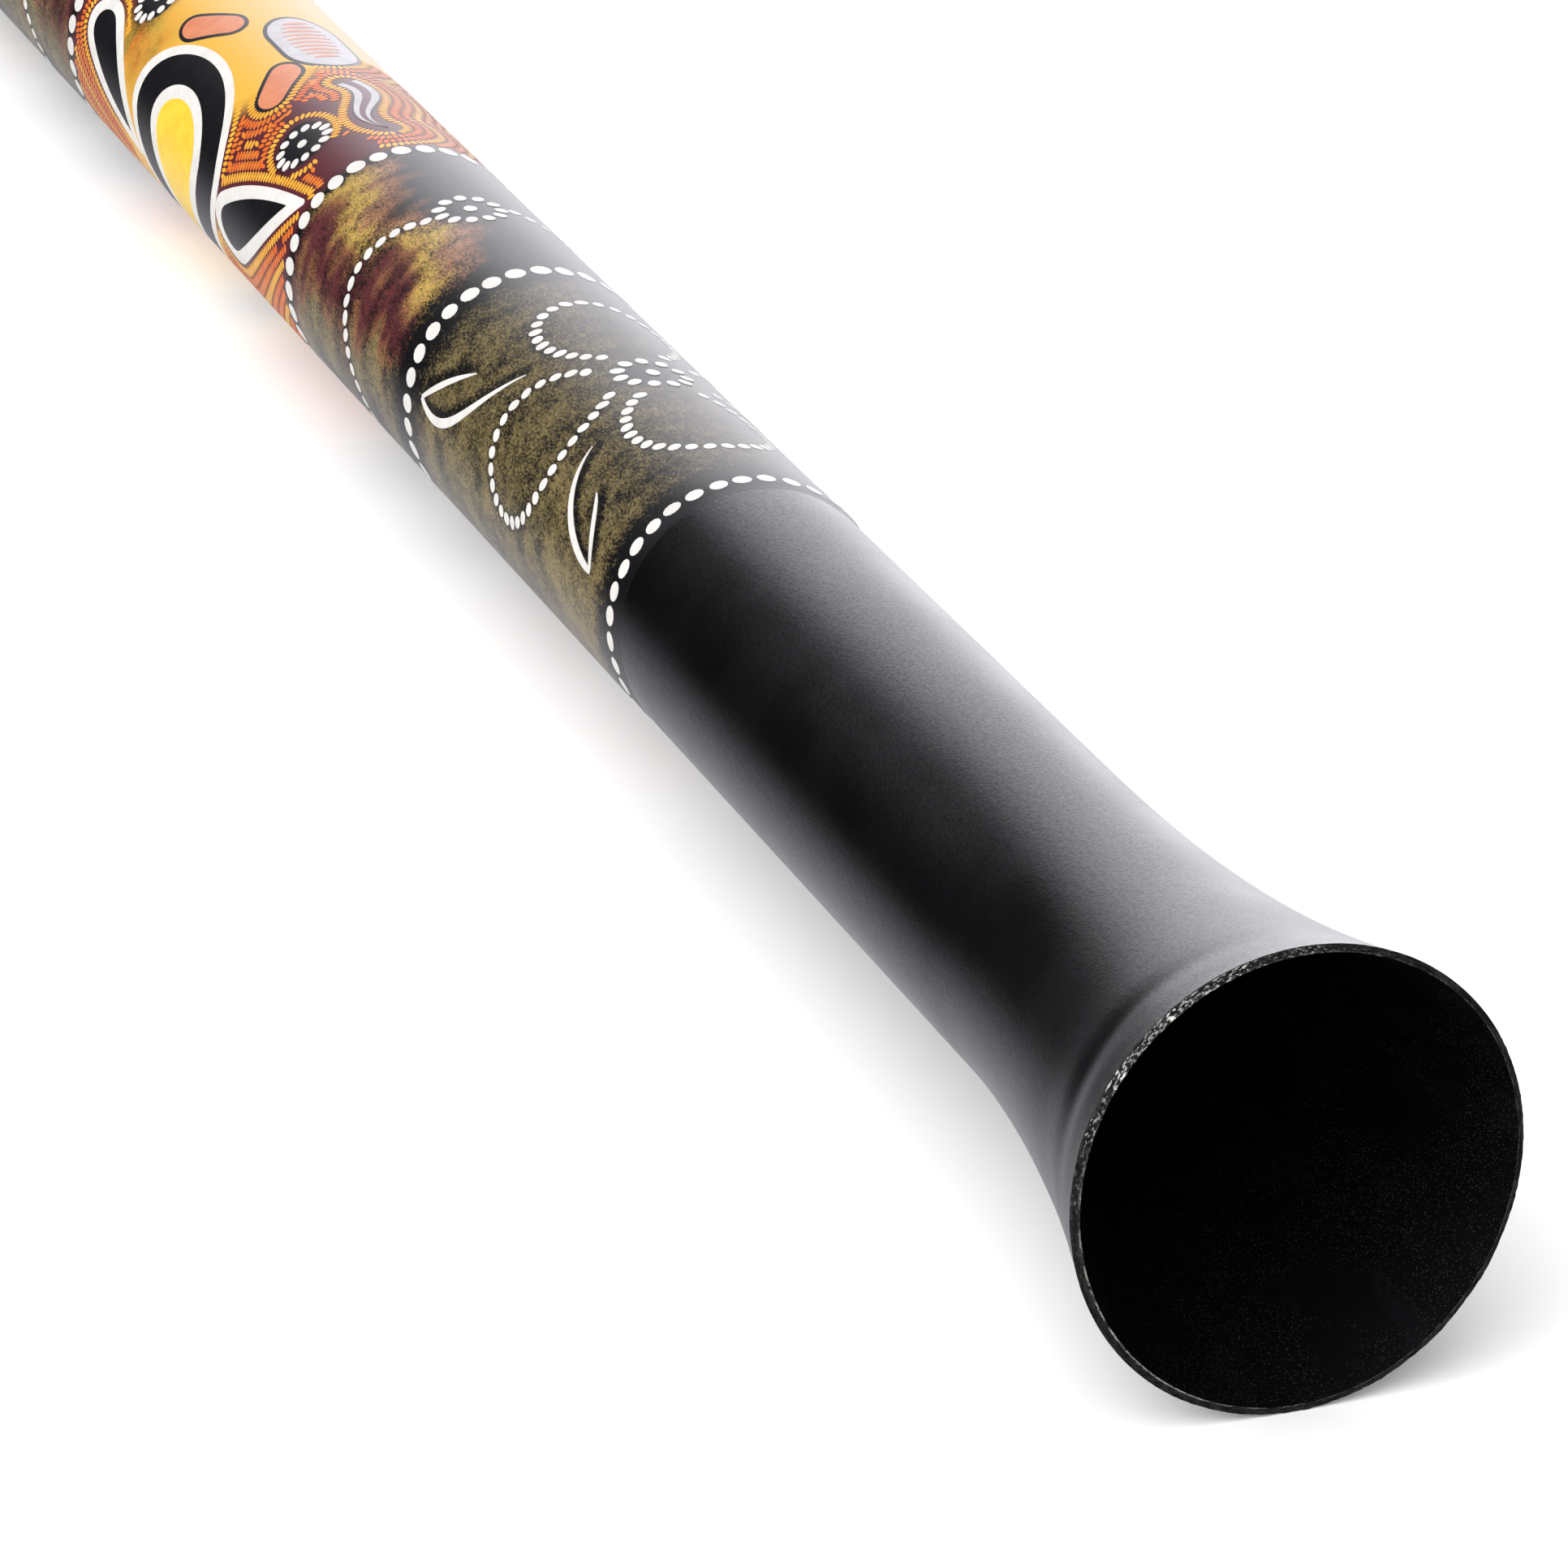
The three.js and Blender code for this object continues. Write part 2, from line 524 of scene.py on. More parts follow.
def build_pipe():
    """The pipe and its bell as one closed loop of rows: outside, bore and sawn face."""
    stations = pipe_stations()[:, None]
    angles = np.arange(PIPE_SIDES) * TURN / PIPE_SIDES
    wall = wall_thickness(stations, angles)
    outside = flare_radius(stations, angles) + hand_marks(stations, angles)
    inside = outside - wall

    # The stations near the rim follow its torn edge.
    edge = np.clip(1 - stations / TEAR_REACH, 0, 1) ** 2
    outer_points = spot(stations + edge * rim_tear(angles, 3), angles, outside)
    inner_points = spot(stations + edge * INNER_TEAR * rim_tear(angles, 11), angles, inside)
    rows = [*outer_points, *inner_points[::-1], *sawn_face(angles, inside[0], wall[0])]
    faces = wrapped_quads(len(rows), PIPE_SIDES)
    paints = [black_paint(), bore_paint(), sawn_plastic()]
    pipe = mesh_object("pipe_and_bell", np.concatenate(rows), faces, paints)
    mark_surfaces(pipe, angles, wall[0], len(stations), len(rows))
    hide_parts("pipe_with_flared_bell")
    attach(pipe, "root")


# ---- the print's drawing


def film_lift(along, arc):
    """How the film's surface departs from its radius, in metres: it thins to nothing at its
    ends, where it was shrunk tight, and one side of the cut edge near the bell lifts off."""
    station = along * MM
    from_end = np.minimum(station - FILM_START, FILM_END - station)
    sunk = FILM_SINK * (1 - ramp(from_end, 0, FILM_TAPER))
    near_edge = ramp(station, FILM_START, FILM_START + FILM_RISE)
    near_edge = near_edge - ramp(station, FILM_START + FILM_RISE, FILM_START + FILM_SETTLED)
    side = bump_round(arc / FILM_R, LIFT_ANGLE, LIFT_REACH)
    return FILM_LIFT * near_edge * side - sunk


def on_film(along, arc, layer):
    """Points that stand some layers of ink above the film."""
    radius = FILM_RADIUS + layer * LAYER + film_lift(along, arc)
    return spot(along * MM, arc / FILM_R, radius)


class Inks:
    """Collects thin printed shapes, one mesh for each name, and the shadows round them."""

    def __init__(self):
        self.points = {}
        self.faces = {}
        self.shades = []

    def add(self, name, points, faces):
        """Adds a shape; its faces count from its own first point."""
        start = len(self.points.setdefault(name, []))
        self.points[name].extend(points)
        self.faces.setdefault(name, []).extend([start + k for k in face] for face in faces)

    def sheet(self, name, along, arc, layer):
        """A thin closed sheet from a grid of places on the film, wound to face outwards."""
        levels = [on_film(along, arc, level).reshape(-1, 3) for level in (layer, SUNK)]
        grid = np.arange(along.size).reshape(along.shape)
        corners = (grid[:-1, :-1], grid[1:, :-1], grid[1:, 1:], grid[:-1, 1:])
        top = np.stack(corners, axis=-1).reshape(-1, 4)
        under = top[:, ::-1] + along.size
        edge = np.concatenate([grid[:, 0], grid[-1, 1:], grid[-2::-1, -1], grid[0, -2:0:-1]])
        after = np.roll(edge, -1)
        sides = np.stack([edge, edge + along.size, after + along.size, after], axis=-1)
        faces = np.concatenate([top, under, sides])
        area = (along[-1, 0] - along[0, 0]) * (arc[0, -1] - arc[0, 0])
        area -= (arc[-1, 0] - arc[0, 0]) * (along[0, -1] - along[0, 0])
        if area >= 0:
            faces = faces[:, ::-1]
        self.add(name, np.concatenate(levels), faces.tolist())

    def dot(self, name, along, arc, long, wide, turn, layer=1, sides=10):
        """An oval dot: long and wide are its half sizes, and turn is the angle of its length."""
        angles = np.arange(sides) * TURN / sides
        u, v = turned(long * np.cos(angles), wide * np.sin(angles), turn)
        edge = (along + u, arc + v)
        top = layer - SUNK
        points = [*on_film(*edge, top), *on_film(*edge, SUNK), on_film(along, arc, top)]
        faces = []
        for i in range(sides):
            j = (i + 1) % sides
            faces += [[j, i, 2 * sides], [i, j, sides + j, sides + i]]
        faces.append(range(sides, 2 * sides))
        self.add(name, points, faces)

    def ribbon(self, name, centre, half_widths, layer):
        """A stroke along a line of (along, arc) points, as wide as half_widths says."""
        step = np.gradient(centre, axis=0)
        step /= np.linalg.norm(step, axis=1)[:, None]
        side = np.stack([-step[:, 1], step[:, 0]], axis=1)
        half = half_widths[:, None]
        columns = max(3, int(2 * half.max() / PRINT_CELL) + 2)
        across = np.linspace(-1, 1, columns)[None, :]
        along = centre[:, :1] + side[:, :1] * half * across
        arc = centre[:, 1:] + side[:, 1:] * half * across
        self.sheet(name, along, arc, layer)

    def shade(self, along, arc, reach, strength=1.0):
        """Asks for a soft dark patch in the ground, reach millimetres across its half."""
        self.shades.append((along, arc, reach, strength))

    def build(self, materials):
        """Makes the meshes, shaded as part of the film's round surface."""
        for name, points in self.points.items():
            thing = mesh_object(name, points, self.faces[name], [materials[name]])
            normals = np.array(points) - (0, 0, AXIS_Z)
            normals[:, 1] = 0
            normals /= np.linalg.norm(normals, axis=1)[:, None]
            thing.data.normals_split_custom_set_from_vertices(normals.tolist())
            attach(thing, "root")


# The half width that a drop's grid keeps at its two ends, and the angle left out there
DROP_LEAST = 0.03
DROP_TRIM = 0.03
NOT_ZERO = 1e-9


class Drop:
    """A drop shape: a round head that narrows to a small round tail.

    The print is stretched along the film, so every drop is drawn in a frame that is squeezed
    along by STRETCH; its sizes are in that frame. A plump drop keeps its width for longer.
    """

    def __init__(self, along, arc, heading, length, head, tail=0.8, plump=1.3):
        self.at = (along, arc)
        self.heading = radians(heading)
        self.length = length
        self.head = head
        self.tail = tail
        self.plump = plump

    def place(self, x, y):
        """From the drop's own axes, x from the head's centre to the tail, to the film."""
        u, v = turned(x, y, self.heading)
        return self.at[0] + STRETCH * u, self.at[1] + v

    def radius(self, x):
        """The drop's half width beside a place on its own axis."""
        t = np.clip(x / self.length, 0, 1)
        return self.tail + (self.head - self.tail) * (1 - t**self.plump)

    def end(self, inset):
        """Where the drop ends once its outline is drawn in by inset."""
        if inset <= self.tail:
            return self.length + self.tail - inset
        left = (inset - self.tail) / (self.head - self.tail)
        return self.length * (1 - left) ** (1 / self.plump)

    def fill(self, inks, name, inset, layer):
        """Fills the drop with ink, drawn in by inset from its outline."""
        head = self.head - inset
        low, high = -head, self.end(inset)
        steps = int((high - low) / PRINT_CELL) + 10
        # The steps crowd at both ends, where the outline turns.
        turns = np.linspace(DROP_TRIM, pi - DROP_TRIM, steps)
        x = low + (high - low) * (1 - np.cos(turns)) / 2
        round_head = np.sqrt(np.maximum(head * head - x * x, 0))
        half = np.where(x < 0, round_head, self.radius(x) - inset)
        cap = np.sqrt(np.maximum((self.tail - inset) ** 2 - (x - self.length) ** 2, 0))
        half = np.maximum(np.where(x > self.length, cap, half), DROP_LEAST)
        columns = max(4, int(2 * half.max() / PRINT_CELL) + 2)
        y = half[:, None] * np.linspace(-1, 1, columns)[None, :]
        inks.sheet(name, *self.place(np.repeat(x[:, None], columns, axis=1), y), layer)

    def distance(self, along, arc):
        """About how far a place on the film is outside the drop; less than 0 inside it."""
        gaps = []
        for wrap in (-FULL_ARC, 0, FULL_ARC):
            u, v = (along - self.at[0]) / STRETCH, arc + wrap - self.at[1]
            x, y = turned(u, v, -self.heading)
            nearest = np.clip(x, 0, self.length)
            x = x - nearest
            reach = np.hypot(x, y) + NOT_ZERO
            u, v = turned(x, y, self.heading)
            slope = np.hypot(u / STRETCH, v) / reach
            gaps.append((reach - self.radius(nearest)) / slope)
        return np.min(gaps, axis=0)


# How far the ground darkens round the dots of a ring and of a line
RING_SHADE = 3.4
LINE_SHADE = 2.2
RING_SEED = 31
DOT_JITTER = (0.92, 1.06)


def ring(inks, along, pitch, long, wide, phase, lean):
    """A ring of oval dots right round the film, leaning towards the bell on its right side."""
    count = round(FULL_ARC / pitch)
    for i in range(count):
        arc = -HALF_ARC + FULL_ARC * (i + phase) / count
        leaning = lean * bump_round(arc / FILM_R, LEAN_ANGLE, LEAN_REACH)
        dice = random.Random(i * RING_SEED + int(along))
        inks.dot(
            "white_dots",
            along - leaning + dice.uniform(-0.25, 0.25),
            arc + dice.uniform(-0.2, 0.2),
            long * dice.uniform(*DOT_JITTER),
            wide * dice.uniform(*DOT_JITTER),
            dice.uniform(-0.15, 0.15),
            sides=12,
        )
        inks.shade(along - leaning, arc, RING_SHADE)


def dotted_line(inks, points, size, spacing, seed):
    """Dots at an even spacing along a line of (along, arc) points."""
    points = np.array(points)
    steps = np.hypot(*np.diff(points, axis=0).T)
    run = np.concatenate([[0], np.cumsum(steps)])
    count = max(2, round(run[-1] / spacing) + 1)
    dice = random.Random(seed)
    for travelled in np.linspace(0, run[-1], count):
        along = np.interp(travelled, run, points[:, 0])
        arc = np.interp(travelled, run, points[:, 1])
        long = size * dice.uniform(0.92, 1.12)
        inks.dot("white_dots", along, arc, long, size * 0.88, dice.uniform(0, pi))
        inks.shade(along, arc, LINE_SHADE)


LOOP_OPENING = 0.83
LOOP_POINTS = 60


def loop(along, arc, heading, near, far, half_width):
    """An open egg-shaped loop that leaves a flower's middle, as points of (along, arc)."""
    turn = radians(heading)
    points = []
    for angle in np.linspace(-1, 1, LOOP_POINTS) * pi * LOOP_OPENING:
        reach = (near + far) / 2 + (far - near) / 2 * cos(angle)
        width = half_width * sin(angle) * (0.92 + 0.08 * cos(angle))
        u, v = turned(reach, width, turn)
        points.append((along + u, arc + v))
    return points


def seed_ring(inks, along, arc, long, wide, count, dot):
    """A small closed oval of dots round one middle dot, on black."""
    inks.shade(along, arc, max(long, wide) + 1.5, 1.4)
    for i in range(count):
        angle = TURN * i / count
        a = along + long * cos(angle)
        r = arc + wide * sin(angle)
        inks.dot("white_dots", a, r, dot * 1.12, dot * 0.92, angle, layer=3)
        inks.shade(a, r, 2.0)
    inks.dot("white_dots", along, arc, dot * 1.2, dot, 0.0, layer=3)


def bezier(corners, steps):
    """Points of (along, arc) on the smooth curve that four corner points pull."""
    a, b, c, d = np.array(corners, dtype=float)
    t = np.linspace(0, 1, steps)[:, None]
    return (1 - t) ** 3 * a + 3 * (1 - t) ** 2 * t * b + 3 * (1 - t) * t * t * c + t**3 * d


# Each leaf is two brush strokes from one sharp corner, each given by four corner points.
LEAF_SLIM = (((0, 0), (9, 0), (20, 5), (25, 17)), ((0.4, 0.4), (3.5, 5), (8, 10), (11.5, 11.7)))
LEAF_BROAD = (((0, 0), (12, -6), (25, 4), (34, 18)), ((0, 0), (6, 4), (12, 8), (18.6, 11.6)))
LEAF_STEPS = 26
LEAF_BOLDNESS = (0.85, 0.6)
LEAF_SHADE = (1.9, 0.95)


def leaf(inks, along, arc, mirror, strokes):
    """An open leaf of two white brush strokes, thick in the middle, over a dark shadow."""
    for stroke, boldness in zip(strokes, LEAF_BOLDNESS):
        curve = bezier(stroke, LEAF_STEPS) * (mirror, 1) + (along, arc)
        swell = np.sin(pi * np.linspace(0.14, 1, LEAF_STEPS))
        inks.ribbon("white_strokes", curve, 0.1 + boldness * swell**0.8, layer=2)
        for a, r in curve[3:]:
            inks.shade(a - mirror * 1.2, r + 0.9, *LEAF_SHADE)


# ---- the print's zones

# The zones along the film and their lengths, from the first ring of dots on
ZONES = (("loops", 119.2), ("streaks", 78.0), ("drops", 164.0), ("streaks", 78.0)) * 2
FIRST_RING = 248.6
# The first ring leans towards the bell on one side.
FIRST_LEAN = 2.5
LEAN_ANGLE = radians(85)
LEAN_REACH = 0.7
RING_TURN = 0.37
# The dots of a ring: pitch round the film, half length and half width
OUTER_RING = (4.62, 1.7, 1.85)
INNER_RING = (4.9, 2.45, 1.95)
# A flower's place, the nearest point of its loops, and the far point and half width of those
# that run across the film and of those that run along it
FLOWER_OFF = -1.2
FLOWER_ARC = 3.4
LOOP_NEAR = 8.5
LOOP_ACROSS = (43.0, 15.3)
LOOP_ALONG = (41.0, 14.4)
# The leaves' distances from the zone's ends, and from the flower round the film
SLIM_OFF = 13.0
SLIM_ARC = -36.8
BROAD_OFF = 7.8
BROAD_ARC = -37.4
# The dots of loops and of streak lines: size and spacing
LOOP_DOTS = (1.35, 3.3)
STREAK_DOTS = (1.45, 3.4)
STREAK_WAVE = 5.2
STREAK_ARC = 0.5
STREAK_POINTS = 50
SEED_ROOM = 9.3
# The rings of dots round the seeds: half sizes, and the count and size of the dots
FLOWER_SEED = (6.4, 6.6, 11, 1.35)
STREAK_SEED = (6.6, 6.2, 11, 1.35)
DROP_SEED = (5.9, 5.8, 13, 1.15)


def zone_starts():
    """Each zone's kind, start and length along the film."""
    start = FIRST_RING
    placed = []
    for kind, length in ZONES:
        placed.append((kind, start, length))
        start += length
    return placed


def draw_rings(inks):
    """A ring of dots at every edge of a zone, with smaller dots in the outermost two."""
    edges = [start for _, start, _ in zone_starts()]
    edges.append(edges[-1] + ZONES[-1][1])
    for i, along in enumerate(edges):
        outermost = i in (0, len(edges) - 1)
        pitch, long, wide = OUTER_RING if outermost else INNER_RING
        lean = FIRST_LEAN if i == 0 else 0.0
        ring(inks, along, pitch, long, wide, phase=RING_TURN * i, lean=lean)


def draw_loops(inks, start, length):
    """Two flowers of dotted loops, on opposite sides, with leaves between them."""
    middle = start + length / 2 + FLOWER_OFF
    for side, headings in ((0, (-90, 180, 0, 90)), (HALF_ARC, (180, 0))):
        arc = FLOWER_ARC + side
        seed_ring(inks, middle, arc, *FLOWER_SEED)
        for i, heading in enumerate(headings):
            size = LOOP_ACROSS if heading in (-90, 90) else LOOP_ALONG
            points = loop(middle, arc, heading, LOOP_NEAR, *size)
            dotted_line(inks, points, *LOOP_DOTS, seed=i + int(middle))
        leaf(inks, start + SLIM_OFF, arc + SLIM_ARC, 1, LEAF_SLIM)
        leaf(inks, start + length - BROAD_OFF, arc + BROAD_ARC, -1, LEAF_BROAD)


def draw_streaks(inks, start, length):
    """One wavy ring of small dots, broken by two seeds."""
    middle = start + length / 2
    for side in (0.0, HALF_ARC):
        first = STREAK_ARC + side
        seed_ring(inks, middle, first, *STREAK_SEED)
        line = []
        for t in np.linspace(0, 1, STREAK_POINTS):
            arc = first + SEED_ROOM + (HALF_ARC - 2 * SEED_ROOM) * t
            line.append((middle - STREAK_WAVE * sin(TURN * t), arc))
        dotted_line(inks, line, *STREAK_DOTS, seed=int(middle + side))


# A big drop's inks, and how far each is drawn in from the outline
BIG_LAYERS = (
    ("white_fills", 0.0), ("black_fills", 2.3), ("white_fills", 9.2), ("yellow_fills", 12.1),
)
# The drops come in two sets: where each is round the film, and how long its big drop is.
DROP_SETS = ((0.0, 50.0), (86.6, 29.0))
# The drops' places are measured along from the zone's middle, and round from their set.
BIG_PLACE = (1.0, -35.6)
BIG_HEADING = -90
BIG_HEAD = 20.7
BIG_TAIL = 1.5
# The side drops of a set: along, arc, heading, length and head
SIDE_DROPS = ((-41.0, -41.0, 143, 28.5, 7.2), (61.5, -29.0, -138, 27.0, 7.0))
SIDE_PLUMP = 2.0
SIDE_INSET = 2.7
# The seeds: places along, then arc, heading, length, head and tail of the black oval
SEED_PLACES = (-57.8, 47.5)
SEED_OVAL = (-16.4, 60, 2.5, 5.6, 5.0)
SEED_INSET = 0.6
SEED_RING_ARC = -15.6
# The coral ovals of the yellow field: along, arc and heading, then their length, head and tail
OVALS = ((22.5, -14.5, 132), (-22.5, -7.5, 230))
OVAL_SIZE = (8.0, 3.1, 2.9)
OUTLINE = -0.9
HATCHED_PLACE = (-12.5, 3.0)
WAVE_PLACE = (-36.0, 1.5)


def draw_drops(inks, start, length):
    """Big nested drops with side drops, seeds and ovals, and rows of beads round them all."""
    middle = start + length / 2
    shapes = []
    for side, big_length in DROP_SETS:
        place = (middle + BIG_PLACE[0], side + BIG_PLACE[1])
        big = Drop(*place, BIG_HEADING, big_length, BIG_HEAD, BIG_TAIL)
        for layer, (name, inset) in enumerate(BIG_LAYERS, start=1):
            big.fill(inks, name, inset, layer)
        shapes.append(big)
        for off, arc, heading, long, head in SIDE_DROPS:
            drop = Drop(middle + off, arc + side, heading, long, head, plump=SIDE_PLUMP)
            drop.fill(inks, "white_fills", 0.0, 1)
            drop.fill(inks, "black_fills", SIDE_INSET, 2)
            shapes.append(drop)
        for off in SEED_PLACES:
            seed = Drop(middle + off, side + SEED_OVAL[0], *SEED_OVAL[1:])
            seed.fill(inks, "black_fills", SEED_INSET, 1)
            seed_ring(inks, middle + off, side + SEED_RING_ARC, *DROP_SEED)
            shapes.append(seed)
    shapes.append(hatched_oval(inks, middle + HATCHED_PLACE[0], HATCHED_PLACE[1]))
    shapes.append(wave_band(inks, middle + WAVE_PLACE[0], WAVE_PLACE[1]))
    for off, arc, heading in OVALS:
        oval = Drop(middle + off, arc, heading, *OVAL_SIZE)
        oval.fill(inks, "black_fills", OUTLINE, 1)
        oval.fill(inks, "coral_fills", 0.0, 2)
        shapes.append(oval)
    for name, along, arc, turn in Beads(start, length, shapes).placed:
        inks.dot(name, along, arc, BEAD_HALF_LONG, BEAD_HALF_WIDE, turn, sides=8)


HATCHED_SIZE = (7.0, 7.4, 7.4)
HATCHES = 10
HATCH_FIRST = -5.0
HATCH_STEP = 2.6
HATCH_REACH = 4.9
HATCH_POINTS = 9


def hatched_oval(inks, along, arc):
    """A plain white oval with a black outline, hatched inside with coral strokes."""
    oval = Drop(along, arc, 0, *HATCHED_SIZE)
    oval.fill(inks, "black_fills", OUTLINE, 1)
    oval.fill(inks, "pale_fills", 0.0, 2)
    half_widths = 0.12 + 0.6 * np.cos(np.linspace(-1.45, 1.45, HATCH_POINTS))
    t = np.linspace(-1, 1, HATCH_POINTS)
    for i in range(HATCHES):
        middle = along + HATCH_FIRST + i * HATCH_STEP
        reach = HATCH_REACH * sqrt(1 - (i - HATCHES / 2 + 0.5) ** 2 / 30)
        line = np.stack([middle + 0.5 * t, arc + reach * t], axis=1)
        inks.ribbon("coral_strokes", line, half_widths, layer=3)
    return oval


WAVE_CURVE = ((0, 0), (-12, 7), (-18, -9), (-31, -1))
WAVE_LAYERS = (("black_fills", 3.4), ("pale_fills", 2.7), ("plum_fills", 0.9))
WAVE_STEPS = 30
WAVE_ROOM = 2.2


class Band:
    """The room that a curved band takes on the film."""

    def __init__(self, curve, half_width):
        self.curve = curve
        self.half_width = half_width

    def distance(self, along, arc):
        nearest = [np.hypot(along - a, arc - r) for a, r in self.curve]
        return np.min(nearest, axis=0) - self.half_width


def wave_band(inks, along, arc):
    """A wavy white band with a dark core, which thins to a point."""
    curve = bezier(WAVE_CURVE, WAVE_STEPS) + (along, arc)
    narrowing = 1 - np.linspace(0, 1, WAVE_STEPS) ** 2
    for layer, (name, half_width) in enumerate(WAVE_LAYERS, start=1):
        inks.ribbon(name, curve, 0.1 + half_width * narrowing, layer)
    return Band(curve, WAVE_ROOM)


# Beads: their half sizes, the steps along a row and between rows, and the first row's distance
# from a shape. A bead stays free of others by the part BEAD_ROOM of its row's step.
BEAD_HALF_LONG = 1.1
BEAD_HALF_WIDE = 0.52
BEAD_PITCH = 1.32
BEAD_ROW = 2.35
BEAD_FIRST = 1.9
BEAD_LEVELS = 9
BEAD_ROOM = 0.8
BEAD_MISS = 0.4
BEAD_CELL = 2
BEADS_IN_ROW = 400
SEARCH_STEP = 1.5
ZONE_MARGIN = 3.6
SEARCH_MARGIN = 4.0
# The grid of distances, and the patches of a zone that stay bare of beads
FIELD_CELL = 0.5
BARE_ABOVE = 0.80
BARE_OFF = 3.6
BARE_SPOT = (8.0, -11.0)
BARE_SPOT_SIZE = 6.5


class Field:
    """How far each place of a zone is from the nearest shape, looked up from a fine grid."""

    def __init__(self, start, length, shapes):
        self.start = start
        self.rows = int(length / FIELD_CELL) + 1
        self.columns = int(FULL_ARC / FIELD_CELL)
        self.cell_arc = FULL_ARC / self.columns
        along = start + np.arange(self.rows) * FIELD_CELL
        arc = -HALF_ARC + np.arange(self.columns) * self.cell_arc
        grid = np.meshgrid(along, arc, indexing="ij")
        rough = np.min([shape.distance(*grid) for shape in shapes], axis=0)
        away = self.measure(rough, *grid)
        from_spot = np.hypot((grid[0] - start - BARE_SPOT[0]) / STRETCH, grid[1] - BARE_SPOT[1])
        thin = clouds(*grid, 13.0, 11.0, int(start)) > BARE_ABOVE
        self.bare = (thin & (away > BARE_OFF)) | (from_spot < BARE_SPOT_SIZE)
        slope_along = np.gradient(away, FIELD_CELL, axis=0)
        slope_arc = (np.roll(away, -1, axis=1) - np.roll(away, 1, axis=1)) / (2 * self.cell_arc)
        self.grids = [grid.tolist() for grid in (away, slope_along, slope_arc)]

    def measure(self, rough, along, arc):
        """True distances from the outline, which is where the rough distance passes 0."""
        slope_along = np.gradient(rough, FIELD_CELL, axis=0)
        slope_arc = np.gradient(rough, self.cell_arc, axis=1)
        steep = slope_along**2 + slope_arc**2
        near = np.abs(rough) < FIELD_CELL
        step = (rough / steep)[near]
        outline_along = along[near] - step * slope_along[near]
        outline_arc = arc[near] - step * slope_arc[near]
        tree = kdtree.KDTree(3 * len(step))
        for wrap in (-FULL_ARC, 0.0, FULL_ARC):
            for a, r in zip(outline_along.tolist(), (outline_arc + wrap).tolist()):
                tree.insert((a, r, 0.0), 0)
        tree.balance()
        away = [tree.find((a, r, 0.0))[2] for a, r in zip(along.flat, arc.flat)]
        return np.array(away).reshape(rough.shape) * np.sign(rough)

    def look(self, along, arc):
        """The distance and its two slopes, from the four grid points round a place."""
        y = min(max((along - self.start) / FIELD_CELL, 0), self.rows - 1 - NOT_ZERO)
        x = ((arc + HALF_ARC) / self.cell_arc) % self.columns
        i, j = int(y), int(x) % self.columns
        k = (j + 1) % self.columns
        v, u = y - i, x - int(x)
        found = []
        for grid in self.grids:
            low = grid[i][j] * (1 - u) + grid[i][k] * u
            high = grid[i + 1][j] * (1 - u) + grid[i + 1][k] * u
            found.append(low * (1 - v) + high * v)
        return found

    def is_bare(self, along, arc):
        """Whether a place lies in one of the patches that the beads leave free."""
        i = int((along - self.start) / FIELD_CELL)
        j = int((arc + HALF_ARC) / self.cell_arc)
        return self.bare[min(max(i, 0), self.rows - 1), j % self.columns]


# The plain yellow field of a drops zone lies between these, measured from the zone's middle.
FIELD_LOW = -21.0
FIELD_HIGH = 44.0
# Its paint fades out from this far inside its edges to this far outside.
FADE_INSIDE = 2
FADE_OUTSIDE = 9
FIELD_WAVES = 4
FIELD_SWAY = 5


def field_wave(arc):
    """How far the two edges of the yellow field sway along the film."""
    return FIELD_SWAY * np.sin(FIELD_WAVES * arc / FILM_R)


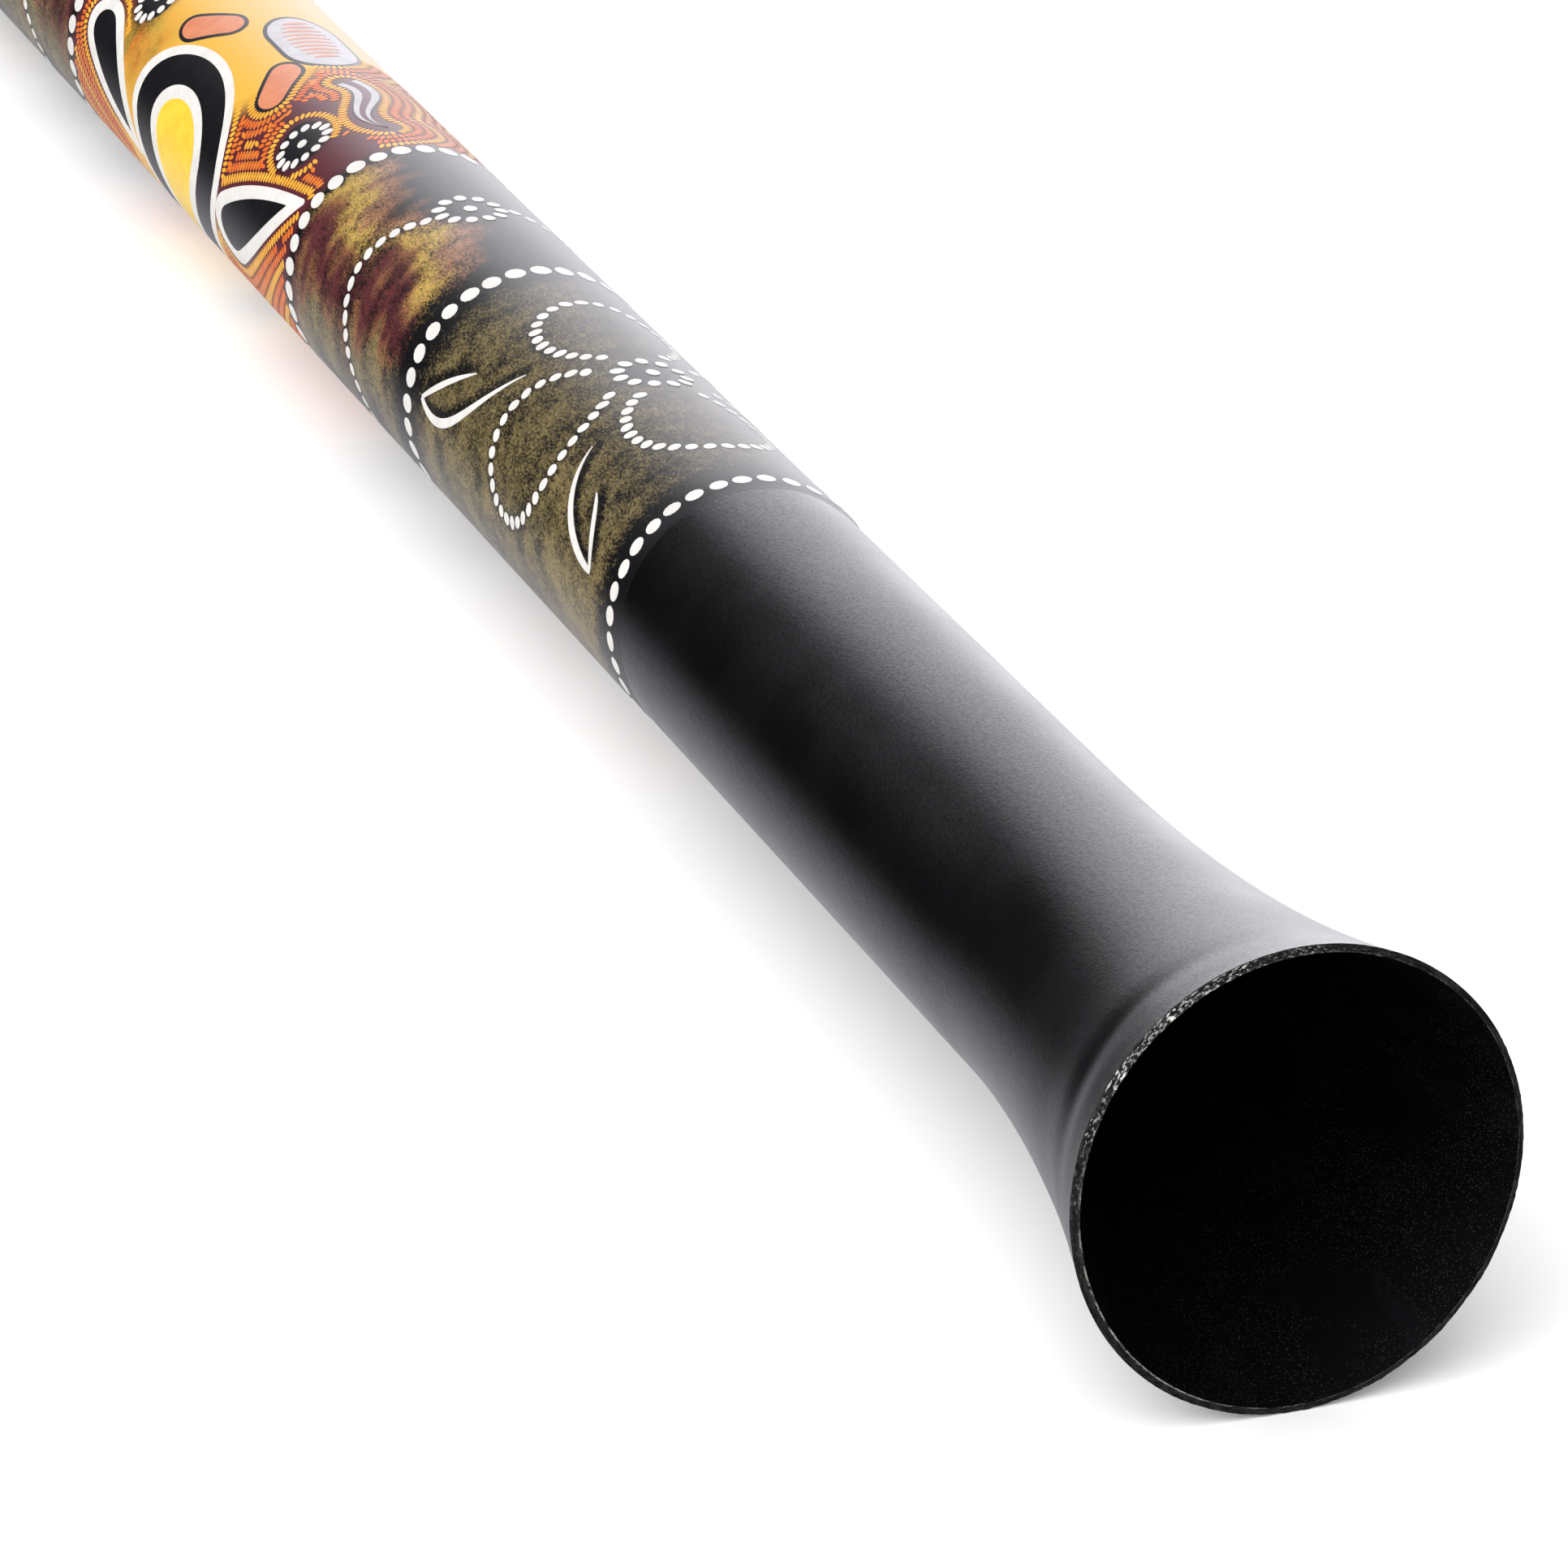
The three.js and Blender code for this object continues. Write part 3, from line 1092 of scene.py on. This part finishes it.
class Beads:
    """Short bars side by side, in rows that follow the outlines of the shapes."""

    def __init__(self, start, length, shapes):
        self.field = Field(start, length, shapes)
        self.low, self.high = start, start + length
        self.middle = start + length / 2
        self.taken = {}
        self.placed = []
        for level in range(BEAD_LEVELS):
            self.fill_level(level)

    def fill_level(self, level):
        """Starts a row wherever one of this level's rows has room."""
        along = self.low + SEARCH_MARGIN
        while along < self.high - SEARCH_MARGIN:
            arc = -HALF_ARC
            while arc < HALF_ARC:
                off = self.field.look(along, arc)[0] - BEAD_FIRST - level * BEAD_ROW
                if abs(off) < BEAD_ROW / 2 and self.painted(along, arc):
                    self.start_row(along, arc, level)
                arc += SEARCH_STEP
            along += SEARCH_STEP

    def start_row(self, along, arc, level):
        """Lays a row of beads both ways from a place, if it is free."""
        along, arc, turn, miss = self.settle(along, arc, level)
        if miss < BEAD_MISS and self.free(along, arc, BEAD_ROW * BEAD_ROOM):
            self.follow(along, arc, level, 1)
            back_along = along + BEAD_PITCH * sin(turn)
            self.follow(back_along, arc - BEAD_PITCH * cos(turn), level, -1)

    def follow(self, along, arc, level, way):
        """Beads along one row until it leaves the zone or meets a bead."""
        name = "yellow_beads" if level % 3 == 0 else "orange_beads"
        for _ in range(BEADS_IN_ROW):
            along, arc, turn, miss = self.settle(along, arc, level)
            free = miss <= BEAD_MISS and self.free(along, arc, BEAD_PITCH * BEAD_ROOM)
            if not free or not self.painted(along, arc):
                return
            self.placed.append((name, along, arc, turn))
            self.taken.setdefault(self.cell(along, arc), []).append((along, arc))
            along -= way * BEAD_PITCH * sin(turn)
            arc += way * BEAD_PITCH * cos(turn)

    def settle(self, along, arc, level):
        """Moves a place onto a row, and tells the row's turn and how far off it still was."""
        for _ in range(2):
            off, slope_along, slope_arc = self.field.look(along, arc)
            shift = BEAD_FIRST + level * BEAD_ROW - off
            along += slope_along * shift
            arc += slope_arc * shift
        return along, arc, atan2(slope_arc, slope_along), abs(shift)

    def cell(self, along, arc):
        return int(along // BEAD_CELL), int(arc // BEAD_CELL)

    def free(self, along, arc, room):
        """Whether no bead lies within room of a place."""
        i, j = self.cell(along, arc)
        near = [(i + m, j + n) for m in (-1, 0, 1) for n in (-1, 0, 1)]
        beads = [bead for cell in near for bead in self.taken.get(cell, ())]
        return all(hypot(a - along, r - arc) >= room for a, r in beads)

    def painted(self, along, arc):
        """Whether a place is in the beaded part of the zone and not in a bare patch."""
        if not self.low + ZONE_MARGIN < along < self.high - ZONE_MARGIN or abs(arc) > HALF_ARC:
            return False
        off = along - self.middle - field_wave(arc)
        return not FIELD_LOW <= off <= FIELD_HIGH and not self.field.is_bare(along, arc)


# ---- the film

OLIVE = (0.17, 0.13, 0.052)
MAROON = (0.085, 0.020, 0.021)
RUST = (0.20, 0.085, 0.036)
OCHRE = (0.41, 0.27, 0.065)
PEACH = (0.29, 0.145, 0.075)
PLUM = (0.070, 0.012, 0.016)
SUN = (0.57, 0.32, 0.04)
BLACK = (0.006, 0.006, 0.0065)
MOSS = (0.27, 0.20, 0.03)
FLAME = (0.50, 0.15, 0.02)
# Cover of a drops zone, the least cover that shadows start from, and how dark they get
FULL_COVER = 1.2
COVER_LIMIT = 0.8
DARKEST = 0.75
# The rubbed corners of the yellow field: place and reach, along and round the film
RUBBED_ALONG = (36.0, 15.0)
RUBBED_ROUND = (-27.0, 10.0)

# The colours of a streaked zone by angle, in degrees; they repeat on the far side of the film.
STREAK_REPEAT = 180
STREAK_COLOURS = (
    (0, BLACK), (58, BLACK), (70, OLIVE), (90, OLIVE), (101, RUST), (112, MAROON), (123, MAROON),
    (132, RUST), (141, OCHRE), (150, OCHRE), (162, PEACH), (171, RUST), (180, BLACK),
)
# A streaked zone's paint fades in between these distances from its two rings.
SHARP_EDGE = (1, 2.5)
DARK_EDGE = (3, 13.0)
# How far clouds and the zone's second half shift a streak's colours, in degrees
STREAK_DRIFT = 34
STREAK_FINE_DRIFT = 20
STREAK_SHIFT = 9.0
# Painted light and shade on the olive ground of the loops zones, by side: its cover is lowered on
# the upper right, under the sheen, which darkens it, and raised on the lower left, which lightens
# it; angle, reach and part
PAINTED_SHADE_SIDE = (radians(35), 0.8)
PAINTED_SHADE_PART = 0.28
PAINTED_LIGHT_SIDE = (radians(-98), 0.45)
PAINTED_LIGHT_PART = 0.35


def streak_colour(degrees):
    stops = [stop for stop, _ in STREAK_COLOURS]
    channels = zip(*(colour for _, colour in STREAK_COLOURS))
    places = degrees % STREAK_REPEAT
    return np.stack([np.interp(places, stops, channel) for channel in channels], axis=-1)


def streaks(along, arc, start, length, dark_first):
    """The paint and cover of a streaked zone: clouds of colour drawn out round the film."""
    seed = int(start)
    middle = start + length / 2
    degrees = np.degrees(arc / FILM_R)
    degrees = degrees + STREAK_DRIFT * (clouds(along, arc, 8.0, 17.0, seed) - 0.5)
    degrees = degrees + STREAK_FINE_DRIFT * (clouds(along, arc, 2.6, 6.0, seed + 1) - 0.5)
    degrees = degrees + STREAK_SHIFT * ramp(along, middle - 3, middle + 3)
    low_edge, high_edge = (DARK_EDGE, SHARP_EDGE) if dark_first else (SHARP_EDGE, DARK_EDGE)
    edge = ramp(along - start, *low_edge) * ramp(start + length - along, *high_edge)
    patches = clouds(along, arc, 3.6, 14.0, seed + 2)
    return streak_colour(degrees), edge * (0.40 + 0.42 * patches)


def blend(first, second, share):
    """Colours mixed by share, which is an array without the colour axis."""
    share = share[..., None]
    return np.asarray(first) * (1 - share) + np.asarray(second) * share


def rubbed_corners(off, arc, patches):
    """Where the yellow field is sponged over, beside the far seeds: 0 to 1."""
    rubbed = 0
    for side, _ in DROP_SETS:
        rubbed = rubbed + bump(off, *RUBBED_ALONG) * bump(arc - side, *RUBBED_ROUND)
    return np.clip(rubbed * (0.5 + 0.9 * patches), 0, 1)


def drop_ground(along, arc, start, length, patches):
    """The paint, cover and sponging of a drops zone: plum, with a yellow field in its middle."""
    off = along - start - length / 2 - field_wave(arc)
    plain = ramp(off, FIELD_LOW - FADE_OUTSIDE, FIELD_LOW + FADE_INSIDE)
    plain = plain * (1 - ramp(off, FIELD_HIGH - FADE_INSIDE, FIELD_HIGH + FADE_OUTSIDE))
    rubbed = rubbed_corners(off, arc, patches)
    mottled = blend(MOSS, FLAME, clouds(along, arc, 3.0, 5.0, 9))
    paint = blend(blend(PLUM, SUN, plain), mottled, rubbed)
    return paint, FULL_COVER - 0.5 * rubbed, 0.12 + 0.5 * rubbed


def ground_colours(along, arc):
    """The paint's colour, its cover and how sponged it looks, at each point of the film."""
    paint = np.zeros((*along.shape, 3))
    cover = np.zeros(along.shape)
    sponge = np.ones(along.shape)
    patches = clouds(along, arc, 6.0, 8.0, 5) * 0.6 + clouds(along, arc, 2.6, 3.4, 6) * 0.4
    angles = arc / FILM_R
    # Painted light and shade: less cover on the upper right, under the sheen, and more on the
    # lower left.
    laid = 1 - PAINTED_SHADE_PART * bump_round(angles, *PAINTED_SHADE_SIDE)
    laid = laid + PAINTED_LIGHT_PART * bump_round(angles, *PAINTED_LIGHT_SIDE)
    for number, (kind, start, length) in enumerate(zone_starts()):
        here = (along >= start) & (along < start + length)
        place = (along[here], arc[here], start, length)
        if kind == "loops":
            edge = np.minimum(along - start, start + length - along)
            paint[here] = OLIVE
            cover[here] = (ramp(edge, 0.5, 11) * laid * (0.26 + 0.42 * patches))[here]
        if kind == "streaks":
            paint[here], cover[here] = streaks(*place, dark_first=number % 4 == 1)
        if kind == "drops":
            paint[here], cover[here], sponge[here] = drop_ground(*place, patches[here])
    return paint, cover, sponge


def darken_round_shapes(cover, along, arc, shades):
    """Lowers the cover softly round every dot and stroke of the print."""
    full = np.maximum(cover, COVER_LIMIT)
    step_arc = arc[0, 1] - arc[0, 0]
    columns = cover.shape[1]
    for a, r, reach, strength in shades:
        first, last = np.searchsorted(along[:, 0], (a - 2 * reach, a + 2 * reach))
        if first == last:
            continue
        column = int(round((r - arc[0, 0]) / step_arc))
        wide = int(2 * reach / step_arc) + 1
        i = np.arange(first, last)
        j = np.arange(column - wide, column + wide + 1)
        da = along[i, 0][:, None] - a
        dr = (j * step_arc + arc[0, 0] - r)[None, :]
        dark = strength * DARKEST * np.exp(-((da**2 + dr**2) / reach**2))
        cells = np.ix_(i, j % columns)
        cover[cells] = np.minimum(cover[cells], full[cells] * (1 - dark / COVER_LIMIT))


def film_stations():
    """The stations of the film's rows, closest together at both ends, and the numbers of those
    rows that its inside has too."""
    near = FILM_START + np.arange(0, FILM_TAPER, FILM_TAPER_STEP)
    # A second row close to the cut keeps the end face's shading off the film's surface.
    near = np.insert(near, 1, FILM_START + 0.03 * MM)
    far = FILM_START + FILM_END - near[::-1]
    steps = int((far[0] - near[-1]) / FILM_STEP)
    rows = steps + 2 * len(near) - 2
    end = len(near)
    inner_rows = [rows - 1, rows - end, rows // 2, 2 * end, end, end // 2, 0]
    stations = [near[:-1], np.linspace(near[-1], far[0], steps), far[1:]]
    return np.concatenate(stations), inner_rows


def build_film(shades):
    """The film's ground: a closed sleeve, with fewer rows of points on its hidden inside."""
    stations, inner_rows = film_stations()
    angles = np.arange(FILM_SIDES) * TURN / FILM_SIDES - pi
    along, arc = np.meshgrid(stations / MM, angles * FILM_R, indexing="ij")
    lift = film_lift(along, arc)
    outside = spot(stations[:, None], angles, FILM_RADIUS + lift)
    thickness = np.minimum(FILM_THICKNESS, lift - lift.min() + 0.01 * MM)
    inner_radius = (FILM_RADIUS + (lift - thickness))[inner_rows]
    inside = spot(stations[inner_rows, None], angles, inner_radius)
    points = np.concatenate([outside, inside])
    faces = wrapped_quads(len(points), FILM_SIDES)
    film = mesh_object("printed_film_ground", points.reshape(-1, 3), faces, [printed_ground()])

    paint, cover, sponge = ground_colours(along, arc)
    darken_round_shapes(cover, along, arc, shades)
    values = np.dstack([paint, cover, sponge])
    hidden = np.zeros((len(inner_rows), *values.shape[1:]))
    values = np.concatenate([values, hidden])
    opaque = np.ones(values.shape[:2])
    add_values(film, "paint", "FLOAT_COLOR", np.dstack([values[..., :3], opaque]))
    add_values(film, "cover", "FLOAT", values[..., 3])
    add_values(film, "sponge", "FLOAT", values[..., 4])
    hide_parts("printed_film")
    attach(film, "root")


# Each ink: its material, its two tones and the meshes that are printed with it
INKS = (
    ("white_ink", (0.58, 0.565, 0.52), (0.52, 0.505, 0.46),
     ("white_dots", "white_strokes", "white_fills")),
    ("black_ink", (0.005, 0.005, 0.006), (0.003, 0.003, 0.004), ("black_fills",)),
    ("yellow_ink", (0.68, 0.46, 0.035), (0.64, 0.41, 0.03), ("yellow_fills",)),
    ("orange_ink", (0.50, 0.085, 0.010), (0.54, 0.15, 0.014), ("orange_beads",)),
    ("amber_ink", (0.62, 0.33, 0.03), (0.58, 0.26, 0.02), ("yellow_beads",)),
    ("coral_ink", (0.50, 0.185, 0.085), (0.46, 0.15, 0.07), ("coral_fills", "coral_strokes")),
    ("pale_ink", (0.40, 0.385, 0.39), (0.35, 0.335, 0.34), ("pale_fills",)),
    ("plum_ink", (0.09, 0.022, 0.033), (0.07, 0.014, 0.02), ("plum_fills",)),
)


def build_print():
    """Draws every zone of the print, then builds its shapes and the film under them."""
    inks = Inks()
    draw_rings(inks)
    drawers = {"loops": draw_loops, "streaks": draw_streaks, "drops": draw_drops}
    for kind, start, length in zone_starts():
        drawers[kind](inks, start, length)
    materials = {}
    for name, colour, shade, meshes in INKS:
        materials |= dict.fromkeys(meshes, ink(name, colour, shade))
    inks.build(materials)
    build_film(inks.shades)


# ---- mouthpiece

MOUTH_SIDES = 160
MOUTH_BORE = 15.5 * MM
PLUG_RADIUS = PIPE_RADIUS - PIPE_WALL - 0.3 * MM
PLUG_BEVEL = 0.6 * MM
COLLAR_START = MOUTH_END - 15 * MM
COLLAR_ROUNDING = 1.6 * MM
LIP_OUTER = 5 * MM
LIP_INNER = 4 * MM
GROOVES = (4.6 * MM, 7.4 * MM)
GROOVE_HALF = 0.9 * MM
GROOVE_DEPTH = 0.45 * MM


def arc_points(radius, station, size, way, start, steps):
    """Points of (radius, station) on a quarter round that ends a surface at radius and station.

    0 degrees is outwards and 90 towards the mouth; way is 1 where the piece goes on towards
    the mouth, and -1 where it ends there.
    """
    points = []
    for i in range(steps + 1):
        angle = radians(start + 90 * i / steps)
        points.append((radius - size + size * cos(angle), station + size * (way + sin(angle))))
    return points


def build_mouthpiece():
    """The moulded mouthpiece: plug, collar with two grip grooves, and a soft rounded lip."""
    profile = [(MOUTH_BORE, MOUTH_START), (PLUG_RADIUS - PLUG_BEVEL, MOUTH_START)]
    profile += [(PLUG_RADIUS, MOUTH_START + PLUG_BEVEL), (PLUG_RADIUS, COLLAR_START)]
    profile += arc_points(MOUTH_RADIUS, COLLAR_START, COLLAR_ROUNDING, 1, -90, 8)
    for groove in GROOVES:
        for part in np.linspace(-1, 1, 9):
            dip = GROOVE_DEPTH * (cos(pi * part) + 1) / 2
            profile.append((MOUTH_RADIUS - dip, COLLAR_START + groove + part * GROOVE_HALF))
    profile += arc_points(MOUTH_RADIUS, MOUTH_END, LIP_OUTER, -1, 0, 12)
    profile += arc_points(MOUTH_BORE + 2 * LIP_INNER, MOUTH_END, LIP_INNER, -1, 90, 12)
    profile.append((MOUTH_BORE, (MOUTH_START + MOUTH_END) / 2))
    angles = np.arange(MOUTH_SIDES) * TURN / MOUTH_SIDES
    rows = [spot(station, angles, radius) for radius, station in profile]
    faces = wrapped_quads(len(rows), MOUTH_SIDES)
    paints = [mouthpiece_rubber()]
    mouthpiece = mesh_object("moulded_mouthpiece", np.concatenate(rows), faces, paints)
    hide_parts("mouthpiece")
    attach(mouthpiece, "root")


# ---- floor, light and camera

FLOOR_HALF = 8.0
FLOOR_GAP = 0.1 * MM

# Soft bright patches of the surroundings: azimuth and elevation, the angles from there at which
# the patch ends and is full, all in degrees, and the strength
LOBES = (
    (34, 15, 46, 8, 2.1),
    (-90, 60, 64, 28, 1.6),
    (-115, 12, 66, 25, 2.2),
    (180, 40, 62, 20, 0.9),
    (4, -4, 22, 4, 0.25),
    (0, -90, 84, 58, 0.62),
)
AMBIENT = 0.01
WALL_STRENGTH = 0.92
LIGHT_TINT = (0.975, 0.97, 1.03)
WALL_TINT = (1.0, 1.0, 1.0)


def build_floor():
    """A pale sheet under the instrument, sloped so that rim and mouthpiece both rest on it."""
    material, n = new_material("pale_floor")
    n.set("Roughness", 0.75)
    tone = n.noise(n.place(), 3.0, 2.0, 0.5)
    n.set("Base Color", n.mix(tone, (0.92, 0.915, 0.866), (0.94, 0.935, 0.886)))
    rise = (mouth_low[2] - pipe_low[2]) / (mouth_high[1] - RIM_Y)
    points = []
    for side_x, side_y in ((-1, -1), (1, -1), (1, 1), (-1, 1)):
        y = side_y * FLOOR_HALF
        points.append((side_x * FLOOR_HALF, y, pipe_low[2] + rise * (y - RIM_Y) - FLOOR_GAP))
    floor = mesh_object("floor", points, [(0, 1, 2, 3)], [material], smooth=False)
    floor.visible_glossy = False


def world_lobe(n, direction, azimuth, elevation, wide, narrow, strength):
    """A soft bright patch of the surroundings, as a node value that depends on direction only."""
    a, e, wide, narrow = np.radians([azimuth, elevation, wide, narrow]).tolist()
    toward = (sin(a) * cos(e), cos(a) * cos(e), sin(e))
    facing = n.node("VectorMath", "Value", {0: direction, 1: toward}, operation="DOT_PRODUCT")
    return n.span(facing, cos(wide), cos(narrow), 0.0, strength)


def build_light():
    """Soft studio surroundings: big pale panels right, left, overhead and in front, and below
    them the table, whose reflection darkens towards the horizon."""
    world = bpy.data.worlds.new("studio")
    bpy.context.scene.world = world
    world.use_nodes = True
    n = Nodes(world.node_tree)
    background = n.tree.nodes["Background"]
    direction = n.node("TexCoord", "Generated")
    lit = AMBIENT
    for lobe in LOBES:
        lit = n.plus(world_lobe(n, direction, *lobe), lit)
    # The camera sees a plain pale wall; the panels only light the object.
    sight = n.node("LightPath", "Is Camera Ray")
    strength = n.node("Mix", 0, {0: sight, 2: lit, 3: WALL_STRENGTH})
    n.feed(strength, background.inputs["Strength"])
    n.feed(n.mix(sight, LIGHT_TINT, WALL_TINT), background.inputs["Color"])


CAMERA_FROM_BELL = (-0.4425, -0.9870, 0.5205)
CAMERA_AZIMUTH = radians(-20.02)
CAMERA_DIP = radians(22.88)
CAMERA_LENS = 181.8
CAMERA_SENSOR = 36.0
CAMERA_NEAR = 0.05
CAMERA_FAR = 60.0


def build_camera():
    """A long lens that looks down at the bell from its left, as the photo does."""
    data = bpy.data.cameras.new("camera")
    data.lens = CAMERA_LENS
    data.sensor_width = CAMERA_SENSOR
    camera = bpy.data.objects.new("camera", data)
    bpy.context.scene.collection.objects.link(camera)
    x, y, z = CAMERA_FROM_BELL
    camera.location = (x, RIM_Y + y, AXIS_Z + z)
    camera.rotation_euler = (pi / 2 - CAMERA_DIP, 0.0, CAMERA_AZIMUTH)
    data.clip_start = CAMERA_NEAR
    data.clip_end = CAMERA_FAR
    bpy.context.scene.camera = camera


build_camera()
build_pipe()
build_print()
build_mouthpiece()
build_floor()
build_light()
bpy.context.scene.view_settings.view_transform = "Standard"
